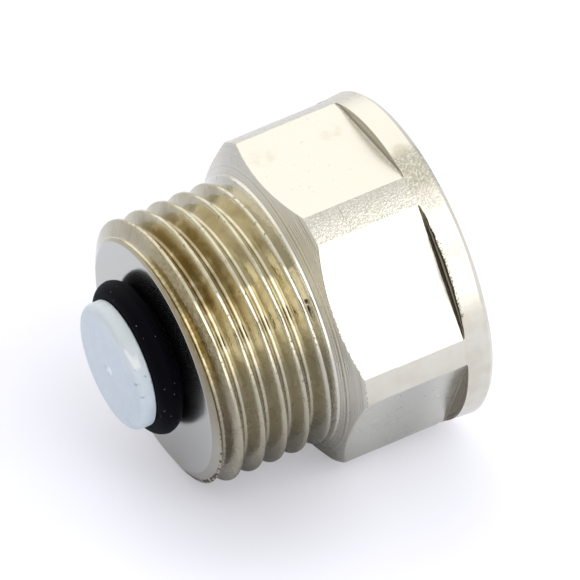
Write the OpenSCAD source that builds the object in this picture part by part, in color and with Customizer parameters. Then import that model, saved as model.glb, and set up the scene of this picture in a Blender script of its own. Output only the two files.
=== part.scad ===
// Automatic shut-off valve for an air vent, lying on its side.
// The axis runs along +X, from the male thread to the female socket.
// The origin is the middle of the male end face. Sizes are in millimetres.

/* [Male thread] */
// Outer diameter over the crests
thread_d = 20.9; // [20.2:0.05:21.2]
// Distance from one crest to the next
thread_pitch = 1.814; // [1.6:0.002:2]
// Depth from crest to root
thread_depth = 1.16; // [0.8:0.02:1.2]
// Width of the flat on each crest
crest_land = 0.3; // [0.2:0.02:0.4]
// Half of the angle between two flanks
flank_angle = 27.5; // [20:0.5:28]
// Number of full crests
crest_count = 5; // [3:1:5]
// Place of the first crest, from the end face
first_crest = 1.56; // [1.3:0.02:1.8]
// Diameter of the flat end face, inside its lead-in chamfer
face_d = 18.1; // [17.6:0.05:18.6]
// Slope of the lead-in chamfer, from the end face
lead_angle = 25; // [15:1:40]

/* [Hexagon body] */
// Length from face to face
body_l = 21.5; // [21:0.1:26]
// Distance across the flats
across_flats = 23; // [22.6:0.1:23.6]
// Diameter of the forging, left on the six corners
forging_d = 25.3; // [24.8:0.1:26]
// Diameter of the collar at its end
collar_d = 25.6; // [25.4:0.1:27]
// Width of the round collar behind the flats
collar_w = 2.2; // [1.9:0.1:3]
// Width of the collar's flared end
flare_w = 1.6; // [1:0.1:1.8]
// Corner radius that the milling cutter leaves at the collar
mill_r = 0.5; // [0.3:0.05:0.8]
// Chamfer on the collar's end
rim_chamfer = 0.4; // [0.2:0.05:0.8]
// Diameter of the lip behind the thread
lip_d = 21.2; // [21:0.1:21.8]
// Place of the lip's front edge, from the male end face
lip_x = 9.45; // [9.4:0.05:9.6]
// Slope of the shoulder cone, from the cross plane
shoulder_angle = 30; // [20:1:40]
// Place where the cone reaches the flats
shoulder_x = 10.28; // [10.1:0.05:10.8]

/* [Waterway] */
// Bore through the end wall
bore_d = 8; // [7.4:0.1:8.2]
// Thickness of the end wall
end_wall = 3; // [2.4:0.1:3.4]
// Diameter of the spring chamber
chamber_d = 12.8; // [12.6:0.1:13.6]

/* [Female thread] */
// Inner diameter over the crests
socket_d = 14.95; // [14.6:0.05:15.2]
// Diameter of the run-out groove, over the thread roots
groove_d = 17; // [16.7:0.1:17.4]
// Width of the run-out groove
groove_w = 2; // [1.5:0.1:2.4]
// Length of the thread, with its mouth
socket_l = 8.9; // [8:0.1:9.2]
// Diameter of the chamfered mouth
mouth_d = 17.2; // [16.8:0.1:18]

/* [Shutter] */
// Diameter of the domed head
head_d = 9.9; // [9.6:0.1:10.4]
// Height of the head's straight side
head_side = 0.65; // [0.5:0.05:1]
// Radius of the head's rounded edge
head_round = 0.6; // [0.4:0.05:0.8]
// Rise of the crown at its middle
head_crown = 0.12; // [0.05:0.01:0.3]
// Diameter of the gate mark at the crown's middle
gate_d = 0.9; // [0.6:0.1:1.4]
// Thickness of a guide rib
rib_t = 1.2; // [0.8:0.1:1.6]
// Number of guide ribs
rib_count = 4; // [3:1:5]
// Diameter of the round stem
stem_d = 4; // [3.4:0.1:4.4]
// Opening travel, over which the ribs stay in the bore
travel = 2.5; // [1.5:0.1:2.8]
// How far the loose shutter lies off the axis
off_axis = 0.45; // [0:0.05:0.6]
// Direction in which it lies, from +Y towards +Z
off_angle = 48; // [0:1:90]
// Least gap between a rib and the bore
rib_gap = 0.05; // [0.03:0.01:0.2]

/* [Seal ring] */
// Diameter of the rubber cord
cord_d = 2; // [1.8:0.05:2.2]
// Inner diameter of the ring
seal_id = 8; // [7.9:0.1:8.6]
// Gap between the shut ring and the end face
seal_gap = 0.1; // [0.05:0.01:0.15]

/* [Spring and cap] */
// Diameter of the wire
wire_d = 0.7; // [0.5:0.05:0.8]
// Diameter of the coil at the middle of the wire
coil_d = 9.2; // [9:0.1:9.4]
// Number of turns
turns = 5; // [4:0.5:6]
// Length of the shut spring
spring_l = 6.6; // [6.2:0.1:6.8]
// Diameter of the cap's flange
flange_d = 11; // [10.6:0.1:11.4]
// Thickness of the flange
flange_t = 0.9; // [0.7:0.1:1.2]
// Diameter of the cap's boss
boss_d = 6.4; // [5.6:0.1:7]
// Height of the boss above the flange
boss_h = 1.5; // [1.2:0.1:1.6]
// Number of air notches in the flange
notch_count = 4; // [3:1:6]
// Width of an air notch
notch_w = 2; // [1.4:0.1:2.4]
// Depth of an air notch, from the flange's edge
notch_depth = 1.7; // [1.2:0.1:1.7]

/* [Hidden] */
$fn = 96;
seat_gap = 0.02;
// How far a cut runs past the face that it opens
over = 1;
arc_steps = 8;
crown_steps = 5;

crest_r = thread_d/2;
root_r = crest_r - thread_depth;
flank_run = thread_depth*tan(flank_angle);
half_land = crest_land/2;
// The lead-in chamfer cuts away the crest before the first, down to its rear flank
lead_x = first_crest - thread_pitch + half_land;
lead_r = (lead_x + crest_r*tan(flank_angle) + face_d/2*tan(lead_angle))
    / (tan(flank_angle) + tan(lead_angle));
lead_depth = (lead_r - face_d/2)*tan(lead_angle);
last_x = first_crest + (crest_count - 1)*thread_pitch + half_land;

flat_r = across_flats/2;
collar_x = body_l - collar_w;
function cone_x(r) = shoulder_x + (r - flat_r)*tan(shoulder_angle);

socket_x = body_l - socket_l;
groove_x = socket_x - groove_w;

seal_r = (seal_id + cord_d)/2;
seal_x = -seal_gap - cord_d/2;
head_x = seal_x - cord_d/2 - seat_gap;
neck_r = seal_id/2 - seat_gap;
neck_end = -seal_gap - seat_gap;
rib_r = bore_d/2 - off_axis - rib_gap;
rib_l = end_wall + travel - neck_end;
flange_x = end_wall + spring_l + 2*seat_gap;
stem_end = flange_x + flange_t + boss_h/2;

// Turns a shape that stands on Z to lie along X
module along_x() { rotate([0, 90, 0]) children(); }

// Shifts the loose shutter group off the axis
module off_the_axis() {
    translate([0, off_axis*cos(off_angle), off_axis*sin(off_angle)]) children();
}

// One crest of the thread, as radius and place
function crest(x) = [
    [root_r, x - half_land - flank_run], [crest_r, x - half_land],
    [crest_r, x + half_land], [root_r, x + half_land + flank_run]
];

// The outside of the body, from the male end face to the collar's end
function outside() = concat(
    [[face_d/2, 0], [lead_r, lead_depth], [root_r, lead_x + flank_run]],
    [for (k = [0 : crest_count - 2]) each crest(first_crest + k*thread_pitch)],
    [[root_r, last_x - crest_land - flank_run], [crest_r, last_x - crest_land], [crest_r, last_x]],
    runout(),
    [[lip_d/2, lip_x], [lip_d/2, cone_x(lip_d/2)], [forging_d/2, cone_x(forging_d/2)],
     [forging_d/2, body_l - flare_w], [collar_d/2, body_l - rim_chamfer], [collar_d/2 - rim_chamfer, body_l]]
);

// The groove between the last crest and the lip, as deep as its width lets it be
function runout() =
    let (room = lip_x - last_x, depth = min(thread_depth, room/2/tan(flank_angle)),
         run = depth*tan(flank_angle))
    depth < thread_depth
        ? [[crest_r - depth, last_x + run], [crest_r, lip_x]]
        : [[root_r, last_x + run], [root_r, lip_x - run], [crest_r, lip_x]];

// The inside of the body, from the female mouth back to the male end face
function inside() = [
    [mouth_d/2, body_l], [socket_d/2, body_l - (mouth_d - socket_d)/2], [socket_d/2, socket_x],
    [groove_d/2, socket_x - (groove_d - socket_d)/4], [groove_d/2, groove_x], [chamber_d/2, groove_x],
    [chamber_d/2, end_wall], [bore_d/2, end_wall], [bore_d/2, 0]
];

// What the milling cutter takes off one flat, with its rounded corner at the collar
module flat_cut() {
    top = collar_d;
    side = [for (i = [0 : arc_steps]) let (a = -90 + 90*i/arc_steps)
        [collar_x - mill_r + mill_r*cos(a), flat_r + mill_r + mill_r*sin(a)]];
    rotate([90, 0, 0])
        linear_extrude(height = 2*collar_d, center = true)
            polygon(concat([[0, top], [0, flat_r]], side, [[collar_x, top]]));
}

module body() {
    color([0.80, 0.78, 0.72])
    difference() {
        along_x() rotate_extrude() polygon(concat(outside(), inside()));
        for (i = [0 : 5]) rotate([60*i, 0, 0]) flat_cut();
    }
}

// The domed head, its rounded edge and the neck that carries the seal ring
module head() {
    crown_r = head_d/2 - head_round;
    crown_x = head_x - head_side - head_round;
    edge = [for (i = [0 : arc_steps]) let (a = 90*i/arc_steps)
        [crown_r + head_round*cos(a), crown_x + head_round*(1 - sin(a))]];
    crown = [for (i = [1 : crown_steps]) let (r = crown_r + (gate_d/2 - crown_r)*i/crown_steps)
        [r, crown_x - head_crown*(1 - pow(r/crown_r, 2))]];
    along_x() rotate_extrude() polygon(concat(
        [[0, neck_end], [neck_r, neck_end], [neck_r, head_x], [head_d/2, head_x]],
        edge, crown, [[0, crown[crown_steps - 1][1]]]));
}

module shutter() {
    color([0.80, 0.84, 0.87])
    off_the_axis() {
        head();
        translate([neck_end, 0, 0]) along_x() cylinder(r = stem_d/2, h = stem_end - neck_end);
        for (i = [0 : rib_count - 1]) rotate([360*i/rib_count, 0, 0])
            translate([neck_end, -rib_t/2, 0]) cube([rib_l, rib_t, rib_r]);
    }
}

module seal_ring() {
    color([0.05, 0.05, 0.06])
    off_the_axis() translate([seal_x, 0, 0])
        along_x() rotate_extrude() translate([seal_r, 0]) circle(d = cord_d);
}

// Place of the wire's middle along the spring, with a closed turn at each end
function coil_x(t) =
    let (free = spring_l - 3*wire_d, mid = turns - 2)
    t < 1 ? wire_d*t :
    t > turns - 1 ? wire_d + free + wire_d*(t - turns + 1) :
    wire_d + free*(t - 1)/mid;

module spring() {
    steps = 20;
    sides = 8;
    rings = ceil(turns*steps);
    points = [for (i = [0 : rings], j = [0 : sides - 1])
        let (t = i/steps, a = 360*t, b = 360*j/sides, r = coil_d/2 + wire_d/2*cos(b))
        [end_wall + seat_gap + wire_d/2 + coil_x(min(t, turns)) + wire_d/2*sin(b),
         r*cos(a), r*sin(a)]];
    faces = concat(
        [[for (j = [0 : sides - 1]) j]],
        [for (i = [0 : rings - 1], j = [0 : sides - 1])
            let (k = (j + 1) % sides, p = i*sides, q = p + sides)
            [p + j, q + j, q + k, p + k]],
        [[for (j = [0 : sides - 1]) rings*sides + sides - 1 - j]]);
    color([0.62, 0.63, 0.64])
    off_the_axis() polyhedron(points, faces);
}

// The cap that is pressed on the stem and carries the spring
module spring_cap() {
    color([0.72, 0.76, 0.80])
    off_the_axis() translate([flange_x, 0, 0]) difference() {
        along_x() union() {
            cylinder(r = flange_d/2, h = flange_t);
            cylinder(r = boss_d/2, h = flange_t + boss_h);
        }
        along_x() translate([0, 0, -over])
            cylinder(r = stem_d/2 + seat_gap, h = over + stem_end - flange_x + seat_gap);
        for (i = [0 : notch_count - 1]) rotate([360*(i + 0.5)/notch_count, 0, 0])
            translate([-over, -notch_w/2, flange_d/2 - notch_depth])
                cube([flange_t + 2*over, notch_w, flange_d]);
    }
}

body();
shutter();
seal_ring();
spring();
spring_cap();
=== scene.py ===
import math

import bmesh
import bpy
from mathutils import Matrix, Vector


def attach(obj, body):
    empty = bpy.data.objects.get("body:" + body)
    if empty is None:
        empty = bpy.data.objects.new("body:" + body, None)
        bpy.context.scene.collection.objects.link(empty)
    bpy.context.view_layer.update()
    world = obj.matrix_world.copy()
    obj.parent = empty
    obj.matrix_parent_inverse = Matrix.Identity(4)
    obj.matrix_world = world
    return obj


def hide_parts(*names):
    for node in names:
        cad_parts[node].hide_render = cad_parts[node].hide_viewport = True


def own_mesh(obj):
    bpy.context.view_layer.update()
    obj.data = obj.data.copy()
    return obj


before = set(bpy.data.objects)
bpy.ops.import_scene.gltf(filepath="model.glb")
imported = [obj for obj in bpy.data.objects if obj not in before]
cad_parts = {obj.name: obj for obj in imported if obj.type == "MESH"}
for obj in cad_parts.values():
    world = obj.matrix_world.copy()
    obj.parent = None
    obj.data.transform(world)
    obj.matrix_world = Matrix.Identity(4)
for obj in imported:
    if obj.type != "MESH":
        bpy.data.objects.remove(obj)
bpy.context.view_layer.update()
scene = bpy.context.scene
mm = 0.001
degree = math.pi / 180
print("frame loaded")


class Wire:
    # one output socket; an expression on it adds Math nodes
    def __init__(self, net, socket):
        self.net = net
        self.socket = socket

    def calc(self, operation, *others):
        return self.net.calc(operation, self, *others)

    def output(self, name):
        return Wire(self.net, self.socket.node.outputs[name])

    def __add__(self, other):
        return self.calc("ADD", other)

    __radd__ = __add__

    def __sub__(self, other):
        return self.calc("SUBTRACT", other)

    def __rsub__(self, other):
        return self.net.calc("SUBTRACT", other, self)

    def __mul__(self, other):
        return self.calc("MULTIPLY", other)

    __rmul__ = __mul__

    def __truediv__(self, other):
        return self.calc("DIVIDE", other)

    def __rtruediv__(self, other):
        return self.net.calc("DIVIDE", other, self)

    def __pow__(self, other):
        return self.calc("POWER", other)

    def __mod__(self, other):
        return self.calc("FLOORED_MODULO", other)

    def __gt__(self, other):
        return self.calc("GREATER_THAN", other)

    def __lt__(self, other):
        return self.calc("LESS_THAN", other)


class Net:
    # a node tree, with the one method that adds nodes
    def __init__(self, tree):
        tree.nodes.clear()
        self.tree = tree

    def add(self, kind, settings=None, sockets=None, output=0):
        node = self.tree.nodes.new(kind)
        for name, value in (settings or {}).items():
            setattr(node, name, value)
        for key, value in (sockets or {}).items():
            for item in value if isinstance(value, list) else [value]:
                if isinstance(item, Wire):
                    self.tree.links.new(item.socket, node.inputs[key])
                else:
                    node.inputs[key].default_value = item
        return Wire(self, node.outputs[output]) if len(node.outputs) else node

    def calc(self, operation, *values):
        return self.add("ShaderNodeMath", {"operation": operation}, dict(enumerate(values)))

    def clamp(self, value, low, high):
        return self.calc("MINIMUM", self.calc("MAXIMUM", value, low), high)

    def rise(self, value, low, high):
        # a soft step from 0 at low to 1 at high
        span = {"Value": value, "From Min": low, "From Max": high}
        return self.add("ShaderNodeMapRange", {"interpolation_type": "SMOOTHSTEP"}, span)

    def between(self, value, low, full, fade, high):
        # rises from 0 at low to 1 at full, and falls from 1 at fade to 0 at high
        return self.rise(value, low, full) * (1 - self.rise(value, fade, high))

    def mix(self, factor, first, second):
        sockets = {0: factor, 6: first, 7: second}
        return self.add("ShaderNodeMix", {"data_type": "RGBA"}, sockets, output=2)

    def steps(self, count, runs):
        # a length that grows by runs of (number of steps, width of a step)
        total, start = 0, 0
        for number, width in runs:
            total = self.clamp(count - start, 0, number) * width + total
            start += number
        return total


def linkObject(name, mesh):
    made = bpy.data.objects.new(name, mesh)
    scene.collection.objects.link(made)
    return made


def evaluated(made):
    # the object's modified shape as a plain mesh, with the modifiers gone
    bpy.context.view_layer.update()
    graph = bpy.context.evaluated_depsgraph_get()
    mesh = bpy.data.meshes.new_from_object(made.evaluated_get(graph))
    made.modifiers.clear()
    made.data = mesh
    return mesh


def tidyNormals(mesh, sharpAngle):
    work = bmesh.new()
    work.from_mesh(mesh)
    bmesh.ops.remove_doubles(work, verts=work.verts, dist=1e-8)
    bmesh.ops.recalc_face_normals(work, faces=work.faces)
    work.to_mesh(mesh)
    work.free()
    mesh.shade_smooth()
    mesh.set_sharp_from_angle(angle=sharpAngle * degree)


# Camera, as the photograph was taken

cameraView = {
    "place": (-0.2082, -0.51019, 0.4533),
    "right": (0.87922, -0.46609, -0.09869),
    "down": (-0.3646, -0.52492, -0.76911),
    "lens": 606.115,
    "sensor": 36,
}


def makeCamera():
    camera = bpy.data.objects.new("camera", bpy.data.cameras.new("camera"))
    scene.collection.objects.link(camera)
    right = Vector(cameraView["right"]).normalized()
    up = -Vector(cameraView["down"])
    back = right.cross(up).normalized()
    up = back.cross(right)
    turn = Matrix((right, up, back)).transposed().to_4x4()
    camera.matrix_world = Matrix.Translation(cameraView["place"]) @ turn
    camera.data.lens = cameraView["lens"]
    camera.data.sensor_width = cameraView["sensor"]
    scene.camera = camera


makeCamera()
print("camera placed")


# Materials

class Finish(Net):
    # a material's node tree, which knows the place on the part in millimetres, the distance from the axis
    # and the angle round it
    def __init__(self, name):
        self.material = bpy.data.materials.new(name)
        self.material.use_nodes = True
        super().__init__(self.material.node_tree)
        place = self.add("ShaderNodeTexCoord", output="Object")
        self.place = self.add("ShaderNodeVectorMath", {"operation": "SCALE"}, {0: place, "Scale": 1 / mm})
        self.x = self.add("ShaderNodeSeparateXYZ", {}, {0: self.place})
        y, z = self.x.output("Y"), self.x.output("Z")
        self.radius = (y * y + z * z) ** 0.5
        self.turn = self.calc("ARCTAN2", z, y)

    def noise(self, scale, detail=3, roughness=0.5, distortion=0, vector=None):
        sockets = {"Vector": vector or self.place, "Scale": scale, "Detail": detail}
        sockets.update({"Roughness": roughness, "Distortion": distortion})
        return self.add("ShaderNodeTexNoise", {}, sockets)

    def lines(self, along, perMillimetre, detail=2):
        # fine parallel tool marks, across one coordinate
        sockets = {"W": along, "Scale": perMillimetre, "Detail": detail, "Roughness": 0.6}
        return self.add("ShaderNodeTexNoise", {"noise_dimensions": "1D"}, sockets)

    def nearAngle(self, middle, whole, end):
        # 1 near an angle round the axis, in degrees from +Y towards +Z, and 0 past the end
        away = ((self.turn / degree - middle + 180) % 360 - 180).calc("ABSOLUTE")
        return 1 - self.rise(away, whole, end)

    def nearSpot(self, x, radius, angle, whole, end):
        # the same round a spot on the surface
        spot = (x, radius * math.cos(angle * degree), radius * math.sin(angle * degree))
        away = self.add("ShaderNodeVectorMath", {"operation": "DISTANCE"}, {0: self.place, 1: spot}, "Value")
        return 1 - self.rise(away, whole, end)

    def surface(self, sockets, height, bumpDistance):
        # bump heights are in millimetres
        bump = {"Strength": 1.0, "Distance": bumpDistance * mm, "Height": height}
        sockets["Normal"] = self.add("ShaderNodeBump", {}, bump)
        shader = self.add("ShaderNodeBsdfPrincipled", {}, sockets)
        self.add("ShaderNodeOutputMaterial", {}, {"Surface": shader})
        return self.material

    def metal(self, color, rough, height, bumpDistance):
        return self.surface({"Base Color": color, "Metallic": 1.0, "Roughness": rough}, height, bumpDistance)


# Plated body: its sizes, its colours and its finishes

bodySizes = {                       # millimetres and degrees, x from the male end
    "Bore Radius": 4.0,
    "Face Radius": 9.05,
    "Lead Angle": 25.0,
    "Crest Radius": 10.45,
    "Root Radius": 9.29,
    "Pitch": 1.814,
    "Crest Land": 0.3,
    "Flank Angle": 27.5,
    "Thread Rounding": 0.13,
    "First Crest": 0.799,           # on the +Y side
    "Lip": 9.45,
    "Lip Radius": 10.6,
    "Shoulder": 10.28,              # where the cone meets the middle of a flat
    "Shoulder Angle": 30.0,
    "Flat": 11.5,                   # from the axis
    "Front Band Radius": 12.63,
    "Band Radius": 12.65,
    "Band Step": 13.65,
    "Corner Rounding": 0.04,
    "Flat End": 19.3,
    "Cutter Radius": 0.15,
    "Torn Edge": 0.1,
    "Collar": 19.45,
    "Rim": 21.1,
    "Rim Radius": 12.78,
    "End": 21.5,
    "End Radius": 12.4,
    "Mouth Radius": 8.6,
    "Socket Radius": 7.475,
    "Socket Root": 8.331,
    "Socket Pitch": 1.337,
    "Socket Land": 0.17,
    "Run-out": 12.0875,
    "Run-out Radius": 8.5,
    "Run-out End": 10.6,
    "Chamber Radius": 6.4,
    "End Wall": 3.0,
}
firstFlat, secondFlat, thirdFlat = 90, 150, 210     # their middles, in degrees from +Y towards +Z

nickelLook = {
    "plate": (0.64, 0.613, 0.53, 1),
    "facePlate": (0.64, 0.625, 0.57, 1),
    "faceCloud": (0.61, 0.60, 0.555, 1),
    "leadPlate": (0.50, 0.445, 0.31, 1),
    "giltHighlight": (0.75, 0.64, 0.42, 1),
    "threadPlate": (0.55, 0.505, 0.375, 1),
    "threadCloud": (0.47, 0.42, 0.29, 1),
    "flankBrown": (0.29, 0.225, 0.10, 1),
    "coneMark": (0.56, 0.53, 0.45, 1),
    "thirdFlat": (0.575, 0.565, 0.505, 1),
    "thirdMiddleShade": (0.375, 0.37, 0.335, 1),
    "blasted": (0.55, 0.525, 0.455, 1),
    "duskBand": (0.40, 0.39, 0.34, 1),
    "duskCollar": (0.36, 0.34, 0.26, 1),
    "warmPatch": (0.58, 0.53, 0.43, 1),
    "wallPlate": (0.40, 0.37, 0.29, 1),
    "wallMark": (0.22, 0.195, 0.14, 1),
    "wallBrownShade": (0.2, 0.155, 0.11, 1),
    "wallHighlight": (0.75, 0.71, 0.55, 1),
    "tarnish": (0.27, 0.205, 0.09, 1),
    "rust": (0.21, 0.165, 0.135, 1),
    "darkLowFront": (0.34, 0.315, 0.25, 1),
    "stain": (0.40, 0.34, 0.22, 1),
    "nearBlack": (0.05, 0.04, 0.03, 1),
}


def endFaceNickel():
    net = Finish("nickel_end_face")
    radius = net.radius
    cloud = net.noise(0.35)
    color = net.mix(cloud, nickelLook["facePlate"], nickelLook["faceCloud"])
    # a painted highlight: a bright golden line along one side of the chamfer
    gilt = net.rise(radius, 8.9, 8.97) * net.nearAngle(298, 38, 52)
    color = net.mix(gilt * 0.8, color, nickelLook["giltHighlight"])
    rough = 0.14 + 0.04 * cloud + 0.07 * net.nearAngle(200, 20, 55) + 0.1 * gilt
    return net.metal(color, rough, net.lines(radius, 6), 0.0008)


def leadNickel():
    net = Finish("nickel_lead_chamfer")
    radius = net.radius
    marks = net.lines(radius, 8)
    grit = net.noise(2.8, detail=2)
    # burrs left along the lower edge, at the side and at the top
    low = net.nearAngle(240, 18, 28) * net.between(radius, 9.7, 9.76, 10.0, 10.06)
    side = net.nearAngle(192, 20, 35) * net.rise(radius, 9.7, 9.8)
    high = net.nearAngle(52, 14, 26) * net.between(radius, 9.4, 9.5, 9.7, 9.8)
    limit = 0.74 - 0.29 * low - 0.19 * side - 0.25 * high
    nearBlack = net.rise(grit, limit, limit + 0.04)
    gilt = net.rise(net.noise(2), 0.35, 0.6) * net.rise(radius, 9.35, 9.75)
    upper = net.nearAngle(105, 45, 80)
    color = net.mix(net.clamp(gilt + upper, 0, 1), nickelLook["facePlate"], nickelLook["leadPlate"])
    stains = net.rise(net.noise(1.1, detail=4, roughness=0.6), 0.35, 0.7)
    stains = stains * upper * net.rise(radius, 9.2, 9.5)
    brown = net.nearAngle(145, 28, 55) * 0.5 + stains * 0.6
    color = net.mix(net.clamp(brown, 0, 0.9), color, nickelLook["tarnish"])
    # the colour turns darker towards the lower front
    darkLowFront = net.nearAngle(195, 35, 60) * (0.6 - 0.4 * gilt)
    color = net.mix(darkLowFront, color, nickelLook["darkLowFront"])
    color = net.mix(nearBlack * 0.9, color, nickelLook["nearBlack"])
    return net.metal(color, 0.2 + 0.3 * nearBlack + 0.1 * stains, marks + grit * 2, 0.012)


def threadNickel():
    net = Finish("nickel_thread")
    x, radius, turn = net.x, net.radius, net.turn
    helix = x - turn * (bodySizes["Pitch"] / (2 * math.pi))
    marks = net.lines(helix, 16)
    # short strokes that the tool left across the first flank
    strokes = net.lines(turn * bodySizes["Crest Radius"], 2.6, detail=1)
    strokes = strokes * (1 - net.rise(x, 1.6, 2.2)) * net.rise(radius, 9.3, 9.7)
    strokes = strokes * net.nearAngle(90, 20, 40)
    wobble = net.noise(1.3, detail=2)
    cloud = net.rise(net.noise(0.55, distortion=1), 0.35, 0.7)
    color = net.mix(cloud, nickelLook["threadPlate"], nickelLook["threadCloud"])
    color = net.mix(net.rise(x, 8.2, 9.3) * 0.8, color, nickelLook["plate"])
    # brown tarnish in the first grooves
    grime = net.rise(net.noise(0.9, detail=4), 0.2, 0.55)
    groove = 1 - net.rise(radius, 9.7, 10.4)
    first = net.between(x, 0.6, 1.4, 3.4, 6.0)
    tarnish = grime * groove * first * net.nearAngle(100, 22, 50)
    color = net.mix(tarnish * 0.9, color, nickelLook["tarnish"])
    # the first flank is brown and grainy down its front side
    sand = net.noise(3.2, roughness=0.65)
    front = (1 - net.rise(helix, 0.60, 0.74)) * net.nearAngle(130, 26, 48)
    sandy = front * (0.95 - 0.5 * net.rise(sand, 0.4, 0.62))
    color = net.mix(sandy, color, nickelLook["flankBrown"])
    rust = net.nearAngle(198, 16, 40) * groove * (1 - net.rise(x, 1.2, 2.6))
    color = net.mix(rust * net.rise(sand, 0.3, 0.5) * 0.7, color, nickelLook["rust"])
    # nicks along the crests
    nicks = net.rise(net.noise(3.6, detail=4, roughness=0.7), 0.60, 0.68)
    nicks = nicks * net.rise(radius, 10.1, 10.4)
    color = net.mix(nicks * 0.75, color, nickelLook["nearBlack"])
    color = net.mix(strokes * 0.5, color, nickelLook["stain"])
    # the underside is rough and grainy, and painted shade darkens its colour
    under = net.nearAngle(215, 45, 75)
    color = net.mix(under * 0.5, color, nickelLook["darkLowFront"])
    grain = net.noise(6, detail=2, roughness=0.6) * under
    rough = 0.08 + 0.05 * cloud + 0.2 * tarnish + 0.2 * nicks + 0.16 * under + 0.1 * front
    height = marks * 0.15 + strokes * 3 + wobble * 2 - nicks * 3 + grain * 2
    height = height + front * sand * net.rise(radius, 9.4, 9.7) * 4
    return net.metal(color, rough, height, 0.009)


def coneNickel():
    net = Finish("nickel_cone")
    radius = net.radius
    marks = net.lines(radius, 6.5, detail=0)
    color = net.mix(marks, nickelLook["plate"], nickelLook["coneMark"])
    return net.metal(color, 0.22 + 0.12 * net.noise(0.5), marks, 0.026)


def tornArc(net):
    # the arc where flats and bands meet the cone is dark and ragged, most of all beside the second flat
    cone = math.tan(bodySizes["Shoulder Angle"] * degree)
    gap = net.x - bodySizes["Shoulder"] - (net.radius - bodySizes["Flat"]) * cone
    wide = net.nearAngle(168, 18, 26) * 0.06
    ragged = net.rise(net.noise(4, detail=4, roughness=0.7), 0.42, 0.55)
    return ragged * (1 - net.rise(gap - wide, 0.02, 0.07))


def flatNickel():
    net = Finish("nickel_flats")
    x = net.x
    ripple = net.noise(0.35, detail=2)
    # the milling cutter's faint strokes run along the flats
    stretched = net.add("ShaderNodeVectorMath", {"operation": "MULTIPLY"}, {0: net.place, 1: (0.5, 6, 6)})
    strokes = net.noise(1.0, vector=stretched)
    spots = net.rise(net.noise(2.5, detail=4, roughness=0.7), 0.63, 0.70)
    color = net.mix(spots * 0.35, nickelLook["plate"], nickelLook["wallPlate"])
    # the third flat is cooler and a little darker, and painted shade darkens its middle, standing in for the
    # reflected shadow of the floor
    third = net.nearAngle(thirdFlat, 24, 30)
    color = net.mix(third * 0.8, color, nickelLook["thirdFlat"])
    middle = 1 - net.rise((x - 15.2).calc("ABSOLUTE"), 0.3, 3.8)
    color = net.mix(third * middle * 0.5, color, nickelLook["thirdMiddleShade"])
    color = net.mix(tornArc(net) * 0.9, color, nickelLook["nearBlack"])
    # two faint stains on the first flat
    smudge = net.rise(net.noise(1.2, detail=2), 0.3, 0.75)
    front = net.nearSpot(11.76, 11.8, 76.8, 0.7, 1.3)
    back = net.nearSpot(17.28, 11.75, 78.2, 0.5, 1.3)
    color = net.mix(smudge * (front + back) * 0.22, color, nickelLook["stain"])
    return net.metal(color, 0.20 + 0.12 * ripple + 0.1 * spots, strokes * 0.2 + ripple, 0.012)


def bandNickel():
    net = Finish("nickel_blasted_bands")
    grain = net.noise(5, roughness=0.6)
    pits = net.add("ShaderNodeTexVoronoi", {}, {"Vector": net.place, "Scale": 6.5}, output="Distance")
    # the band below the second flat is smooth, with warm patches
    smooth = net.nearAngle(secondFlat + 30, 8, 14)
    blasted = net.rise(grain, 0.4, 0.65) * (1 - smooth)
    color = net.mix(blasted, nickelLook["plate"], nickelLook["blasted"])
    # painted shade: the band below the first flat is darker along that flat
    dusk = net.nearAngle(112, 4, 12)
    color = net.mix(dusk * 0.6, color, nickelLook["duskBand"])
    warm = net.rise(net.noise(0.45), 0.35, 0.7) * smooth
    color = net.mix(warm * 0.7, color, nickelLook["warmPatch"])
    color = net.mix(tornArc(net) * 0.9, color, nickelLook["nearBlack"])
    return net.metal(color, 0.22, (grain + pits * 0.6) * (1 - smooth * 0.9), 0.055)


def wallNickel():
    net = Finish("nickel_cutter_walls")
    x, radius, turn = net.x, net.radius, net.turn
    flat, band = bodySizes["Flat"], bodySizes["Band Radius"]
    marks = net.lines(x * 1.5 + radius, 5)
    color = net.mix(net.rise(marks, 0.35, 0.6), nickelLook["wallPlate"], nickelLook["wallMark"])
    # painted light behind the first flat, whose wall faces the bright top, and a brown tone with painted
    # shade behind the third
    color = net.mix(net.nearAngle(firstFlat, 22, 25) * 0.45, color, nickelLook["plate"])
    color = net.mix(net.nearAngle(thirdFlat, 22, 26) * 0.5, color, nickelLook["wallBrownShade"])
    # behind the second one, painted shade on both sides of a light, rougher stripe that is a painted
    # highlight
    lean = (turn - secondFlat * degree).calc("COSINE")
    depth = (radius * lean - flat) / (band * lean - flat)
    second = net.nearAngle(153, 18, 26)
    highlightStripe = net.between(depth, 0.32, 0.4, 0.66, 0.74) * second
    color = net.mix(second * 0.85, color, nickelLook["nearBlack"])
    color = net.mix(highlightStripe, color, nickelLook["wallHighlight"])
    return net.metal(color, 0.2 + 0.25 * highlightStripe, marks, 0.03)


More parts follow.
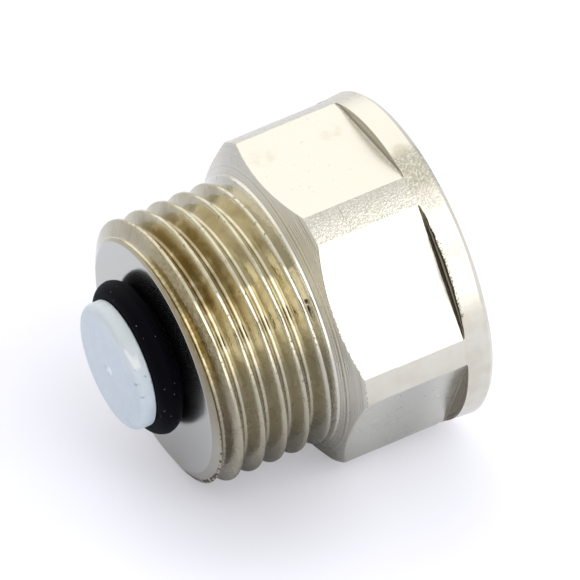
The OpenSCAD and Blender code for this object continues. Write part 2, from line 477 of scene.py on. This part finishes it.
def collarNickel():
    net = Finish("nickel_collar")
    x, turn = net.x, net.turn
    cloud = net.noise(0.7)
    grain = net.noise(5, roughness=0.6)
    marks = net.lines(x, 7)
    # the blasted look of the bands goes on over the collar beside each of them
    away = ((turn / degree) % 60).calc("ABSOLUTE")
    blast = net.rise(away, 44, 50) + 1 - net.rise(away, 6, 14)
    blast = net.clamp(blast * (0.5 + cloud), 0, 1) * (1 - 0.9 * net.nearAngle(185, 15, 25))
    color = net.mix(net.rise(grain, 0.4, 0.65) * blast, nickelLook["plate"], nickelLook["blasted"])
    # painted shade along the first flat, broken up by the grain as on the band; the same mask also adds to
    # the bump
    dusk = net.nearAngle(113, 5, 11)
    color = net.mix(dusk * net.rise(grain, 0.3, 0.6) * 0.8, color, nickelLook["duskCollar"])
    warm = net.rise(cloud, 0.4, 0.65) * net.nearAngle(185, 25, 40)
    color = net.mix(warm * 0.7, color, nickelLook["warmPatch"])
    # a round stain beside the first flat
    ring = net.nearSpot(20.15, 12.67, 104.6, 0.35, 0.75)
    color = net.mix(ring * 0.35, color, nickelLook["stain"])
    # specks of torn metal beside the wall behind the second flat, and a nick in the rim
    fine = net.noise(9, detail=2, roughness=0.6)
    aside = (turn / degree - secondFlat).calc("ABSOLUTE")
    reach = (x - bodySizes["Flat End"]) * 0.8 + net.rise(aside, 14, 23) * 0.4
    specks = net.rise(fine, 0.38 + reach, 0.42 + reach) * (1 - net.rise(aside, 23, 25))
    color = net.mix(specks * 0.8, color, nickelLook["nearBlack"])
    nick = net.nearSpot(20.95, 12.78, 143.8, 0.05, 0.22) * net.rise(fine, 0.35, 0.5)
    color = net.mix(nick * 0.8, color, nickelLook["wallPlate"])
    height = grain * (0.2 + blast + dusk) + marks * 0.15
    return net.metal(color, 0.27 + 0.06 * cloud, height, 0.055)


def socketNickel():
    net = Finish("nickel_socket")
    x = net.x
    cloud = net.noise(0.6)
    color = net.mix(cloud, nickelLook["plate"], nickelLook["threadPlate"])
    return net.metal(color, 0.24 + 0.12 * cloud, net.lines(x, 8), 0.008)


bodyFinishes = [endFaceNickel(), leadNickel(), threadNickel(), coneNickel(), flatNickel(),
                bandNickel(), wallNickel(), collarNickel(), socketNickel()]
endFaceZone, leadZone, threadZone, coneZone, flatZone, bandZone, wallZone, collarZone, socketZone = range(9)
print("nickel finishes made")


# Plated body: one closed shell, walked along its profile from the bore round the outside and back

columnRuns = [3, 4, 26, 4, 3]       # columns of faces over a band's half, a corner, a flat and back
columnsPerFlat = sum(columnRuns)
columns = 6 * columnsPerFlat


class BodyNet(Net):
    def start(self, sizes):
        grid = self.add("GeometryNodeInputPosition")
        share = self.add("ShaderNodeSeparateXYZ", {}, {0: grid})
        self.row = share.output("Y") + 0.5              # 0 to 1 along a strip of the profile
        column = (share + 0.5) * columns
        sector = (column / columnsPerFlat).calc("FLOOR")
        # the corner between a flat and a band, from the flat's middle
        self.corner = (sizes["Flat"] / sizes["Band Radius"]).calc("ARCCOSINE") / degree
        near = 0.6                                      # half the width of a corner's fine columns
        widths = [(30 - self.corner - near) / columnRuns[0], near * 2 / columnRuns[1],
                  (self.corner - near) * 2 / columnRuns[2], near * 2 / columnRuns[3],
                  (30 - self.corner - near) / columnRuns[4]]
        self.sway = self.steps(column - sector * columnsPerFlat, list(zip(columnRuns, widths))) - 30
        self.turn = sector * 60 + 30 + self.sway        # degrees from +Y towards +Z
        self.lean = (self.sway * degree).calc("COSINE")
        self.sine = (self.turn * degree).calc("SINE")
        self.cosine = (self.turn * degree).calc("COSINE")
        self.strips = []

    def strip(self, rows, x, radius, zone):
        # one strip of faces all round the axis, from one profile place to the next
        counts = {"Size X": 1.0, "Size Y": 1.0, "Vertices X": columns + 1, "Vertices Y": rows + 1}
        grid = self.add("GeometryNodeMeshGrid", {}, counts)
        zoned = self.add("GeometryNodeStoreNamedAttribute", {"data_type": "INT", "domain": "FACE"},
                         {"Geometry": grid, "Name": "zone", "Value": zone})
        place = self.add("ShaderNodeCombineXYZ", {},
                         {"X": x * mm, "Y": self.cosine * radius * mm, "Z": self.sine * radius * mm})
        self.strips.append(self.add("GeometryNodeSetPosition", {}, {"Geometry": zoned, "Position": place}))

    def walk(self, stops):
        # straight strips between the stops, which are (x, radius, edge rounding, rows, zone)
        spot = stops[0][:2]
        for number, (x, radius, edge, rows, zone) in enumerate(stops[1:], 1):
            if number == len(stops) - 1:
                self.line(spot, (x, radius), rows, zone)
                continue
            before = self.toward((x, radius), stops[number - 1], edge)
            after = self.toward((x, radius), stops[number + 1], edge)
            self.line(spot, before, rows, zone)
            self.bend(before, (x, radius), after, zone)
            spot = after

    def toward(self, spot, other, distance):
        alongX, alongR = other[0] - spot[0], other[1] - spot[1]
        length = self.calc("POWER", alongX * alongX + alongR * alongR, 0.5)
        share = self.calc("MINIMUM", distance / length, 0.45)
        return spot[0] + share * alongX, spot[1] + share * alongR

    def line(self, first, last, rows, zone):
        x, radius = (a + self.row * (b - a) for a, b in zip(first, last))
        self.strip(rows, x, radius, zone)

    def bend(self, first, corner, last, zone):
        # a rounded edge
        left = 1 - self.row
        x, radius = (left * left * a + 2 * left * self.row * b + self.row * self.row * c
                     for a, b, c in zip(first, corner, last))
        self.strip(4, x, radius, zone)


def threadRadius(net, x, crest, pitch, land, tangent, low, high, rounding):
    # the radius of a thread's flank, crest or root at x
    off = (x - crest) / pitch
    distance = (off - off.calc("ROUND")).calc("ABSOLUTE") * pitch
    flank = high - (distance - land / 2) / tangent
    soft = rounding / tangent
    return net.calc("SMOOTH_MAX", net.calc("SMOOTH_MIN", flank, high, soft), low, soft)


def buildBodyTree():
    tree = bpy.data.node_groups.new("platedBody", "GeometryNodeTree")
    tree.interface.new_socket("Geometry", in_out="OUTPUT", socket_type="NodeSocketGeometry")
    for name in bodySizes:
        tree.interface.new_socket(name, in_out="INPUT", socket_type="NodeSocketFloat")
    net = BodyNet(tree)
    given = net.add("NodeGroupInput")
    size = {name: given.output(name) for name in bodySizes}
    net.start(size)

    # the male thread, its start cut back by the lead-in chamfer
    pitch, crestRadius, rootRadius = size["Pitch"], size["Crest Radius"], size["Root Radius"]
    halfLand = size["Crest Land"] / 2
    flank = (size["Flank Angle"] * degree).calc("TANGENT")
    lead = (size["Lead Angle"] * degree).calc("TANGENT")
    rounding = size["Thread Rounding"]
    crest = size["First Crest"] + pitch * net.turn / 360

    def maleRadius(x):
        land = size["Crest Land"]
        return threadRadius(net, x, crest, pitch, land, flank, rootRadius, crestRadius, rounding)

    shift = crestRadius * flank + halfLand
    lowest = rootRadius * (lead + flank) - shift - size["Face Radius"] * lead
    near = lowest + (crest - lowest) % pitch
    rear = (near + shift + size["Face Radius"] * lead) / (lead + flank)
    front = (near - shift + size["Face Radius"] * lead) / (lead - flank)
    leadRadius = net.clamp(net.calc("MINIMUM", rear, front), rootRadius, crestRadius)
    leadX = (leadRadius - size["Face Radius"]) * lead
    leadEnd = (leadX, maleRadius(leadX))

    rootCorner = halfLand + (crestRadius - rootRadius) * flank
    halfRuns = [(1, halfLand - rounding), (6, rounding / 3),
                (2, (rootCorner - halfLand - rounding * 2) / 2), (6, rounding / 3),
                (1, pitch / 2 - rootCorner - rounding)]
    halfRows, turns, turnsBefore = 16, 7, 2
    count = net.row * (turns * halfRows * 2)
    turnNumber = (count / (halfRows * 2)).calc("FLOOR")
    within = count - turnNumber * (halfRows * 2)
    falling = within > halfRows
    offset = net.steps(halfRows - (within - halfRows).calc("ABSOLUTE"), halfRuns)
    ribbonX = crest + pitch * (turnNumber - turnsBefore + falling) + offset * (1 - 2 * falling)
    # the last groove runs out against the lip's own flank
    lipCrest = size["Lip"] + halfLand - pitch
    last = lipCrest + (crest - lipCrest) % pitch
    endRadius = crestRadius - (size["Lip"] - last - halfLand) / (flank * 2)
    endX = size["Lip"] - (crestRadius - net.clamp(endRadius, rootRadius, crestRadius)) * flank
    threadX = net.clamp(ribbonX, leadX, endX)

    # hexagon: the cone's edge, the flats and the wall that the cutter leaves at the collar
    flatRadius = size["Flat"] / net.lean
    cone = (size["Shoulder Angle"] * degree).calc("TANGENT")

    def trimmed(bandRadius, radius):
        return net.calc("SMOOTH_MIN", radius, bandRadius, size["Corner Rounding"])

    edgeRadius = trimmed(size["Front Band Radius"], flatRadius)
    edgeX = size["Shoulder"] + (edgeRadius - size["Flat"]) * cone
    sideRadius = trimmed(size["Band Radius"], flatRadius)
    cutter = size["Cutter Radius"]
    cutterX = size["Flat End"] - cutter
    rise = net.clamp(size["Band Radius"] * net.lean - size["Flat"], 0, cutter)
    sweep = (1 - rise / cutter).calc("ARCCOSINE")
    wallX = cutterX + cutter * sweep.calc("SINE")
    angle = sweep * net.row
    filletX = cutterX + cutter * angle.calc("SINE")
    floor = size["Flat"] + cutter - cutter * angle.calc("COSINE")
    filletRadius = trimmed(size["Band Radius"], floor / net.lean)
    wallRadius = trimmed(size["Band Radius"], (size["Flat"] + rise) / net.lean)
    # the wall behind the second flat has a ragged edge
    tearing = {"W": net.turn, "Scale": 1.1, "Detail": 4.0}
    tear = net.add("ShaderNodeTexNoise", {"noise_dimensions": "1D"}, tearing)
    behindSecond = 1 - net.rise((net.turn - secondFlat).calc("ABSOLUTE"), 20, 24)
    torn = net.rise(tear, 0.4, 0.75) * (rise / cutter) * behindSecond
    edgeOfWallX = wallX + torn * size["Torn Edge"]
    onBand = net.sway.calc("ABSOLUTE") > net.corner
    sideZone = flatZone + onBand * (bandZone - flatZone)
    filletZone = wallZone + onBand * (bandZone - wallZone)

    # the female thread, with its mouth and its run-out groove
    socketCrest = size["Socket Pitch"] * net.turn / 360
    socketTurns = 9
    turned = (1 - net.row) * socketTurns + net.turn / 360 - 1
    socketX = net.clamp(size["Run-out"] + size["Socket Pitch"] * turned, size["Run-out"], size["End"])
    cut = threadRadius(net, socketX, socketCrest, size["Socket Pitch"], size["Socket Land"], flank,
                       size["Socket Radius"], size["Socket Root"], rounding / 2)
    mouth = size["Mouth Radius"] + socketX - size["End"]
    runOut = size["Run-out Radius"] - (socketX - size["Run-out"]) * 2
    socketRadius = net.calc("MAXIMUM", net.calc("MAXIMUM", cut, mouth), runOut)

    bore = size["Bore Radius"]
    middle = size["End Wall"] / 2
    lip = size["Lip Radius"]
    net.walk([(middle, bore),
              (0, bore, 0.1, 1, socketZone),
              (0, size["Face Radius"], 0.04, 6, endFaceZone),
              leadEnd + (0, 3, leadZone)])
    net.strip(turns * halfRows * 2, threadX, maleRadius(threadX), threadZone)
    net.walk([(endX, maleRadius(endX)),
              (size["Lip"] + (lip - crestRadius) * flank, lip, 0.06, 3, threadZone),
              (size["Shoulder"] + (lip - size["Flat"]) * cone, lip, 0.04, 2, coneZone),
              (edgeX, edgeRadius, 0.05, 6, coneZone),
              (size["Band Step"], edgeRadius, 0.03, 8, sideZone),
              (size["Band Step"] + 0.1, sideRadius, 0.03, 1, sideZone),
              (cutterX, sideRadius, 0, 8, sideZone)])
    net.strip(8, filletX, filletRadius, filletZone)
    net.walk([(wallX, wallRadius),
              (edgeOfWallX, size["Band Radius"], 0.03, 4, filletZone),
              (size["Collar"], size["Band Radius"], 0.1, 2, collarZone),
              (size["Rim"], size["Rim Radius"], 0.12, 3, collarZone),
              (size["End"], size["End Radius"], 0.05, 2, collarZone),
              (size["End"], size["Mouth Radius"], 0, 6, collarZone)])
    net.strip(socketTurns * 14, socketX, socketRadius, socketZone)
    net.walk([(size["Run-out"], size["Run-out Radius"]),
              (size["Run-out End"], size["Run-out Radius"], 0.1, 2, socketZone),
              (size["Run-out End"], size["Chamber Radius"], 0.1, 2, socketZone),
              (size["End Wall"], size["Chamber Radius"], 0.1, 6, socketZone),
              (size["End Wall"], bore, 0.1, 2, socketZone),
              (middle, bore, 0, 1, socketZone)])

    shell = net.add("GeometryNodeJoinGeometry", {}, {0: net.strips})
    shell = net.add("GeometryNodeMergeByDistance", {}, {"Geometry": shell, "Distance": 5e-7})
    shell = net.add("GeometryNodeRealizeInstances", {}, {"Geometry": shell})
    zone = net.add("GeometryNodeInputNamedAttribute", {"data_type": "INT"}, {"Name": "zone"})
    for number, finish in enumerate(bodyFinishes):
        same = {"data_type": "INT", "operation": "EQUAL"}
        chosen = net.add("FunctionNodeCompare", same, {2: zone, 3: number})
        painted = {"Geometry": shell, "Selection": chosen, "Material": finish}
        shell = net.add("GeometryNodeSetMaterial", {}, painted)
    net.add("NodeGroupOutput", {}, {"Geometry": shell})
    return tree


def runTree(made, tree, values):
    # the named inputs are set by their identifiers, before the first evaluation
    modifier = made.modifiers.new("shape", "NODES")
    modifier.node_group = tree
    for item in tree.interface.items_tree:
        if item.in_out == "INPUT" and item.name in values:
            modifier[item.identifier] = values[item.name]
    return evaluated(made)


def makeBody():
    body = linkObject("plated_body", bpy.data.meshes.new("plated_body"))
    mesh = runTree(body, buildBodyTree(), bodySizes)
    tidyNormals(mesh, 18)
    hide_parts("body")
    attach(body, "valve_body")
    return body


body = makeBody()
print("plated body made:", len(body.data.polygons), "faces")


# Shutter, seal ring, spring and cap, which lie off the axis as one loose group

looseGroup = {
    "offAxis": 0.45,
    "offAngle": 48,                 # degrees from +Y towards +Z
}
looseY = looseGroup["offAxis"] * math.cos(looseGroup["offAngle"] * degree)
looseZ = looseGroup["offAxis"] * math.sin(looseGroup["offAngle"] * degree)


plasticLook = {
    "plain": (0.54, 0.62, 0.67, 1),
    "pale": (0.60, 0.67, 0.72, 1),
    "rimGlow": (0.68, 0.65, 0.60, 1),
    "rimEdge": (0.47, 0.53, 0.57, 1),
    "lowSideShade": (0.49, 0.56, 0.61, 1),
    "gate": (0.86, 0.91, 0.94, 1),
    "highlightArc": (0.86, 0.88, 0.9, 1),
    "dirt": (0.24, 0.25, 0.26, 1),
}


def shutterPlastic(name):
    net = Finish(name)
    x, radius = net.x, net.radius
    color = net.mix(net.noise(0.6), plasticLook["plain"], plasticLook["pale"])
    # the head: a warm painted highlight towards the rim on the upper side, painted shade on its lower side, a
    # gate mark painted bright as a highlight, a painted highlight arc on the edge, a dirt spot and a few
    # scratches
    rimGlow = net.rise(radius, 3.9, 5.1) * net.nearAngle(105, 30, 75)
    color = net.mix(rimGlow * 0.35, color, plasticLook["rimGlow"])
    color = net.mix(net.rise(radius, 4.75, 4.95) * 0.35, color, plasticLook["rimEdge"])
    # painted shade, patchy, on the lower side
    low = net.rise(net.noise(0.35), 0.35, 0.65) * net.nearAngle(200, 30, 80)
    color = net.mix(low * 0.5, color, plasticLook["lowSideShade"])
    # the real gate mark, painted bright as a highlight
    gate = net.nearSpot(-3.6, 0.6, 105, 0.15, 0.5)
    color = net.mix(gate * 0.9, color, plasticLook["gate"])
    # a painted highlight: a short bright arc on the edge
    bright = net.nearAngle(133, 7, 12) * (1 - net.rise((radius - 4.9).calc("ABSOLUTE"), 0.03, 0.1))
    color = net.mix(bright * (x < -2.6) * 0.5, color, plasticLook["highlightArc"])
    dirt = net.rise(net.noise(1.9, detail=2), 0.60, 0.66)
    dirt = dirt * net.nearSpot(-3.2, 4.75, 160, 0.7, 1.9)
    color = net.mix(dirt * 0.6, color, plasticLook["dirt"])
    fine = net.noise(5, detail=4)
    scuffs = net.rise(net.noise(1.4, detail=5, roughness=0.65, distortion=1.5), 0.46, 0.62)
    sockets = {"Base Color": color, "Roughness": 0.28 + 0.10 * fine + 0.12 * scuffs}
    return net.surface(sockets, fine * 0.4 + scuffs * 0.6, 0.02)


rubberLook = {
    "black": (0.0012, 0.0012, 0.003, 1),
    "dust": (0.42, 0.44, 0.47, 1),
    "gloss": 0.045,
}


def sealRubber():
    net = Finish("seal_rubber")
    skin = net.noise(3, detail=4)
    dust = net.add("ShaderNodeTexVoronoi", {}, {"Vector": net.place, "Scale": 2.2}, output="Distance")
    speck = (dust < 0.06) * (net.noise(0.5) > 0.45)
    color = net.mix(speck, rubberLook["black"], rubberLook["dust"])
    sockets = {"Base Color": color, "Roughness": 0.5 + 0.15 * skin, "Specular IOR Level": rubberLook["gloss"]}
    return net.surface(sockets, skin, 0.01)


steelLook = {
    "dark": (0.50, 0.51, 0.52, 1),
    "bright": (0.60, 0.60, 0.60, 1),
}


def springSteel():
    net = Finish("spring_wire")
    drawn = net.noise(4)
    color = net.mix(drawn, steelLook["dark"], steelLook["bright"])
    return net.metal(color, 0.25 + 0.1 * drawn, drawn, 0.004)


def arc(centreX, centreR, radius, start, end, count):
    # points round an arc; 0 degrees points away from the axis and 90 degrees to the male end
    angles = [(start + (end - start) * i / count) * degree for i in range(count + 1)]
    return [(centreX - radius * math.sin(a), centreR + radius * math.cos(a)) for a in angles]


def latheMesh(name, outline, count):
    # a closed shape turned round the loose group's axis; a point at radius 0 closes to a pole
    mesh = bpy.data.meshes.new(name)
    points, faces, rows = [], [], len(outline)
    for i in range(count):
        y, z = math.cos(2 * math.pi * i / count), math.sin(2 * math.pi * i / count)
        points += [(x * mm, (looseY + r * y) * mm, (looseZ + r * z) * mm) for x, r in outline]
    for i in range(count):
        for j in range(rows):
            k, after = (j + 1) % rows, (i + 1) % count
            if outline[j][1] > 0 or outline[k][1] > 0:
                faces.append((i * rows + j, i * rows + k, after * rows + k, after * rows + j))
    mesh.from_pydata(points, [], faces)
    return mesh


sealSizes = {
    "middle": -1.1,                 # millimetres along +X
    "radius": 5.0,
    "section": 1.0,
    "flash": 0.02,                  # height of the mould's parting line
}
turnedCount = 128                   # faces round the seal ring and the shutter


def makeSeal():
    outline, count = [], 48
    for i in range(count):
        a = 2 * math.pi * i / count
        flash = sealSizes["flash"] if i in (0, count // 2) else 0
        reach = sealSizes["section"] + flash
        outline.append((sealSizes["middle"] + reach * math.sin(a), sealSizes["radius"] + reach * math.cos(a)))
    mesh = latheMesh("rubber_seal", outline, turnedCount)
    tidyNormals(mesh, 40)
    mesh.materials.append(sealRubber())
    return linkObject("rubber_seal", mesh)


shutterSizes = {
    "headFront": -3.46,
    "headBack": -2.12,
    "headRadius": 4.95,
    "edge": 0.62,                   # rounding of the head's front edge
    "crown": 0.15,                  # height of the dome
    "gate": 0.45,                   # radius of the gate mark
    "neckRadius": 3.98,
    "neckEnd": -0.12,
    "rounding": 0.1,
    "ribRadius": 3.5,
    "ribWidth": 1.2,
    "ribEnd": 5.5,
    "ribEdge": 0.12,
    "stemRadius": 2.0,
    "stemFillet": 0.2,
    "stemEnd": 11.29,
    "stemEdge": 0.3,
}


def makeShutter():
    size = shutterSizes
    neck, stem = size["neckRadius"], size["stemRadius"]
    small, fillet, stemEdge = size["rounding"], size["stemFillet"], size["stemEdge"]
    crownRadius = size["headRadius"] - size["edge"]
    crown = []
    for i in range(1, 13):
        r = crownRadius + (size["gate"] - crownRadius) * i / 12
        crown.append((size["headFront"] - size["crown"] * (1 - (r / crownRadius) ** 2), r))
    gateX = crown[-1][0]
    outline = [(gateX - 0.05, 0), (gateX - 0.05, size["gate"] * 0.5), (gateX + 0.04, size["gate"] * 0.75)]
    outline += crown[::-1]
    outline += arc(size["headFront"] + size["edge"], crownRadius, size["edge"], 90, 0, 10)
    outline += arc(size["headBack"] - small, size["headRadius"] - small, small, 0, -90, 4)
    outline += [(size["headBack"], neck + small), (size["headBack"] + small, neck)]
    outline += arc(size["neckEnd"] - small, neck - small, small, 0, -90, 4)
    outline += [(size["neckEnd"], stem + fillet), (size["neckEnd"] + fillet, stem)]
    outline += arc(size["stemEnd"] - stemEdge, stem - stemEdge, stemEdge, 0, -90, 5)
    outline += [(size["stemEnd"], 0)]
    mesh = latheMesh("plastic_shutter", outline, turnedCount)
    tidyNormals(mesh, 25)
    shutter = linkObject("plastic_shutter", mesh)
    # two crossed plates make the four guide ribs; they start a little inside the neck
    inside = 0.05
    length = size["ribEnd"] - size["neckEnd"] + inside
    scale = Matrix.Diagonal((length * mm, size["ribWidth"] * mm, size["ribRadius"] * 2 * mm, 1))
    middle = Matrix.Translation(((size["neckEnd"] - inside + length / 2) * mm, looseY * mm, looseZ * mm))
    for name, along in (("ribsAcross", 0), ("ribsUpright", 90)):
        rib = bmesh.new()
        bmesh.ops.create_cube(rib, size=1)
        turned = middle @ Matrix.Rotation(along * degree, 4, "X") @ scale
        bmesh.ops.transform(rib, verts=rib.verts, matrix=turned)
        edge = size["ribEdge"] * mm
        bmesh.ops.bevel(rib, geom=rib.edges, offset=edge, segments=3, profile=0.5, affect="EDGES")
        plate = bpy.data.meshes.new(name)
        rib.to_mesh(plate)
        rib.free()
        cutter = linkObject(name, plate)
        union = shutter.modifiers.new(name, "BOOLEAN")
        union.operation, union.solver, union.object = "UNION", "EXACT", cutter
    mesh = evaluated(shutter)
    for name in ("ribsAcross", "ribsUpright"):
        bpy.data.objects.remove(bpy.data.objects[name])
    tidyNormals(mesh, 25)
    mesh.materials.clear()
    mesh.materials.append(shutterPlastic("shutter_plastic"))
    return shutter


def makeCap():
    # the cap's solid, its loose triangles joined and its edges broken
    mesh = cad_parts["spring_cap"].data.copy()
    mesh.name = "plastic_cap"
    work = bmesh.new()
    work.from_mesh(mesh)
    bmesh.ops.remove_doubles(work, verts=work.verts, dist=1e-6)
    bmesh.ops.dissolve_limit(work, angle_limit=0.5 * degree, verts=work.verts, edges=work.edges)
    work.to_mesh(mesh)
    work.free()
    mesh.materials.clear()
    cap = linkObject("plastic_cap", mesh)
    bevel = cap.modifiers.new("edges", "BEVEL")
    bevel.width, bevel.segments, bevel.limit_method, bevel.angle_limit = 0.12 * mm, 3, "ANGLE", 40 * degree
    mesh = evaluated(cap)
    tidyNormals(mesh, 25)
    mesh.materials.append(shutterPlastic("cap_plastic"))
    return cap


springSizes = {
    "Wire": 0.7,
    "Coil Radius": 4.6,
    "Turns": 5.0,
    "Free Gap": 4.5,                # what the open turns add beyond the closed ones
    "Start": 3.37,
}
springAlong, springAround = 300, 16         # faces along the wire and round it


def buildSpringTree(finish):
    tree = bpy.data.node_groups.new("wireSpring", "GeometryNodeTree")
    tree.interface.new_socket("Geometry", in_out="OUTPUT", socket_type="NodeSocketGeometry")
    for name in springSizes:
        tree.interface.new_socket(name, in_out="INPUT", socket_type="NodeSocketFloat")
    net = Net(tree)
    given = net.add("NodeGroupInput")
    size = {name: given.output(name) for name in springSizes}
    share = net.add("ShaderNodeSeparateXYZ", {}, {0: net.add("GeometryNodeInputPosition")})
    step = (share + 0.5) * (springAlong + 2)
    length = net.clamp(step - 1, 0, springAlong) / springAlong * size["Turns"]
    # the wire closes to a point at both ends
    wire = size["Wire"] / 2 * net.clamp(net.calc("MINIMUM", step, springAlong + 2 - step), 0, 1)
    # one closed turn at each end and open turns between
    openTurns = size["Turns"] - 2
    x = size["Start"] + net.steps(length, [(1, size["Wire"])])
    x = x + net.clamp(length - 1 - openTurns, 0, 1) * size["Wire"]
    x = x + net.clamp(length - 1, 0, openTurns) * size["Free Gap"] / openTurns
    around = (share.output("Y") + 0.5) * (2 * math.pi)
    radius = size["Coil Radius"] + wire * around.calc("COSINE")
    turn = length * (2 * math.pi)
    place = net.add("ShaderNodeCombineXYZ", {}, {"X": (x + wire * around.calc("SINE")) * mm,
                                                 "Y": (radius * turn.calc("COSINE") + looseY) * mm,
                                                 "Z": (radius * turn.calc("SINE") + looseZ) * mm})
    counts = {"Size X": 1.0, "Size Y": 1.0, "Vertices X": springAlong + 3, "Vertices Y": springAround + 1}
    coil = net.add("GeometryNodeMeshGrid", {}, counts)
    coil = net.add("GeometryNodeSetPosition", {}, {"Geometry": coil, "Position": place})
    coil = net.add("GeometryNodeMergeByDistance", {}, {"Geometry": coil, "Distance": 5e-7})
    coil = net.add("GeometryNodeRealizeInstances", {}, {"Geometry": coil})
    coil = net.add("GeometryNodeSetMaterial", {}, {"Geometry": coil, "Material": finish})
    net.add("NodeGroupOutput", {}, {"Geometry": coil})
    return tree


def makeSpring():
    spring = linkObject("wire_spring", bpy.data.meshes.new("wire_spring"))
    mesh = runTree(spring, buildSpringTree(springSteel()), springSizes)
    tidyNormals(mesh, 50)
    return spring


for piece, node, slot, rides in ((makeSeal(), "seal_ring", "seal_rubber", "shutter_unit"),
                                 (makeShutter(), "shutter", "shutter_plastic", "shutter_unit"),
                                 (makeCap(), "spring_cap", "cap_plastic", "shutter_unit"),
                                 (makeSpring(), "spring", "spring_wire", "valve_body")):
    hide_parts(node)
    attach(piece, rides)
    print(piece.name, "made:", len(piece.data.polygons), "faces")
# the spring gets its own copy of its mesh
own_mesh(bpy.data.objects["wire_spring"])


# Stage

stageLook = {
    "floorNormal": (0.1191, 0, 0.9929),
    "floorPoint": (0.0211, 0, -0.0128),
    "floorHalf": 0.4,               # metres
    "floorColor": (0.90, 0.90, 0.99, 1),
    "mirroredColor": (0.87, 0.89, 0.98, 1),     # the same in reflections
    "glowColor": (0.96, 0.96, 1, 1),
    "seenGlow": 0.36,               # share of the floor that glows for the camera
    "mirroredGlow": 0.06,           # the least share of it in reflections
    "backGlow": 0.6,                # the share behind the part, on its right
    "farGlow": 0.5,                 # what the far floor adds
    "leftDim": 0.33,                # painted shade: share of the floor's colour lost in reflections, towards the left
    "underDim": 0.5,                # and under the thread
    "softShadow": 0.17,             # share that the camera loses in front of the thread
}


def makeFloor():
    half = stageLook["floorHalf"]
    corners = [(-half, -half, 0), (half, -half, 0), (half, half, 0), (-half, half, 0)]
    mesh = bpy.data.meshes.new("floor")
    mesh.from_pydata(corners, [], [(0, 1, 2, 3)])
    floor = linkObject("floor", mesh)
    normal = Vector(stageLook["floorNormal"]).normalized()
    turn = Vector((0, 0, 1)).rotation_difference(normal).to_matrix().to_4x4()
    floor.matrix_world = Matrix.Translation(stageLook["floorPoint"]) @ turn
    material = bpy.data.materials.new("pale_floor")
    material.use_nodes = True
    net = Net(material.node_tree)
    seen = net.add("ShaderNodeLightPath", output="Is Camera Ray")
    mirrored = net.add("ShaderNodeLightPath", output="Is Glossy Ray")
    place = net.add("ShaderNodeSeparateXYZ", {}, {0: net.add("ShaderNodeTexCoord", output="Object")})
    x, y = place / mm, place.output("Y") / mm           # millimetres along the floor
    away = (x * x + y * y) ** 0.5
    # painted shade for reflections: darker under the thread and towards the left
    under = (1 - net.rise(y.calc("ABSOLUTE"), 3, 14)) * net.between(x, -22, -18, -12, -6)
    left = (1 - net.rise(x, -46, -1)) * (1 - net.rise(away, 110, 220))
    dim = net.clamp(left * stageLook["leftDim"] + under * stageLook["underDim"], 0, 0.9)
    beside, ahead = x + 20, y + 9
    shadow = 1 - net.rise((beside * beside + ahead * ahead) ** 0.5, 1, 12)
    black = (0, 0, 0, 1)
    color = net.mix(mirrored, stageLook["floorColor"], stageLook["mirroredColor"])
    color = net.mix(mirrored * dim, color, black)
    color = net.mix(seen * shadow * stageLook["softShadow"], color, black)
    matt = net.add("ShaderNodeBsdfDiffuse", {}, {"Color": color})
    glow = net.add("ShaderNodeEmission", {}, {"Color": stageLook["glowColor"], "Strength": 1.0})
    behind = net.rise(y, 20, 70) * net.rise(x, -5, 25) * stageLook["backGlow"]
    far = net.rise(away, 90, 190) * stageLook["farGlow"] + stageLook["mirroredGlow"]
    share = seen * stageLook["seenGlow"] + mirrored * net.calc("MAXIMUM", behind, far)
    surface = net.add("ShaderNodeMixShader", {}, {0: share, 1: matt, 2: glow})
    net.add("ShaderNodeOutputMaterial", {}, {"Surface": surface})
    mesh.materials.append(material)


skyLook = {
    "level": 0.84,
    # soft panels: from and to which share of +X in the direction, with its softness, then from and to
    # which angle in degrees from the front over the top to the back, with its softness, and the light
    # that the panel adds
    "panels": [
        (-0.08, 0.50, 0.08, -12, 23, 4, 1.65),      # low at the front
        (-0.08, 0.50, 0.08, 38, 67, 4, 2.1),        # high at the front
        (0.17, 0.50, 0.04, 20, 40, 3, 1.5),         # between them, further right
        (-0.20, 0.60, 0.10, 70, 103, 8, 0.35),      # overhead
        (-0.38, 0.62, 0.10, 102, 174, 5, 0.76),     # white sheet behind
        (0.68, 1.10, 0.06, 0, 100, 8, 1.5),         # far right
    ],
    # the same, with the share of the light that is taken away
    "shades": [
        (-0.16, 0.11, 0.03, 25, 39, 3, 0.97),       # gap between the two at the front
        (-0.80, -0.16, 0.06, -5, 60, 8, 0.75),      # dark side that the camera stands on
    ],
}


def makeWorld():
    world = bpy.data.worlds.new("studio")
    scene.world = world
    world.use_nodes = True
    net = Net(world.node_tree)
    x = net.add("ShaderNodeSeparateXYZ", {}, {0: net.add("ShaderNodeTexCoord", output="Generated")})
    angle = net.calc("ARCTAN2", x.output("Z"), 0 - x.output("Y")) / degree
    level = skyLook["level"]

    def soft(value, low, high, edge):
        return net.between(value, low - edge, low + edge, high - edge, high + edge)

    for lowX, highX, edgeX, lowAngle, highAngle, edgeAngle, added in skyLook["panels"]:
        panel = soft(x, lowX, highX, edgeX) * soft(angle, lowAngle, highAngle, edgeAngle)
        level = panel * added + level
    for lowX, highX, edgeX, lowAngle, highAngle, edgeAngle, taken in skyLook["shades"]:
        shade = soft(x, lowX, highX, edgeX) * soft(angle, lowAngle, highAngle, edgeAngle)
        level = level * (1 - shade * taken)
    color = net.add("ShaderNodeCombineColor", {}, {"Red": level, "Green": level, "Blue": level})
    seen = net.add("ShaderNodeLightPath", output="Is Camera Ray")
    color = net.mix(seen, color, (1, 1, 1, 1))
    back = net.add("ShaderNodeBackground", {}, {"Color": color, "Strength": 1.0})
    net.add("ShaderNodeOutputWorld", {}, {"Surface": back})


makeFloor()
makeWorld()
scene.view_settings.view_transform = "Standard"
print("stage made")
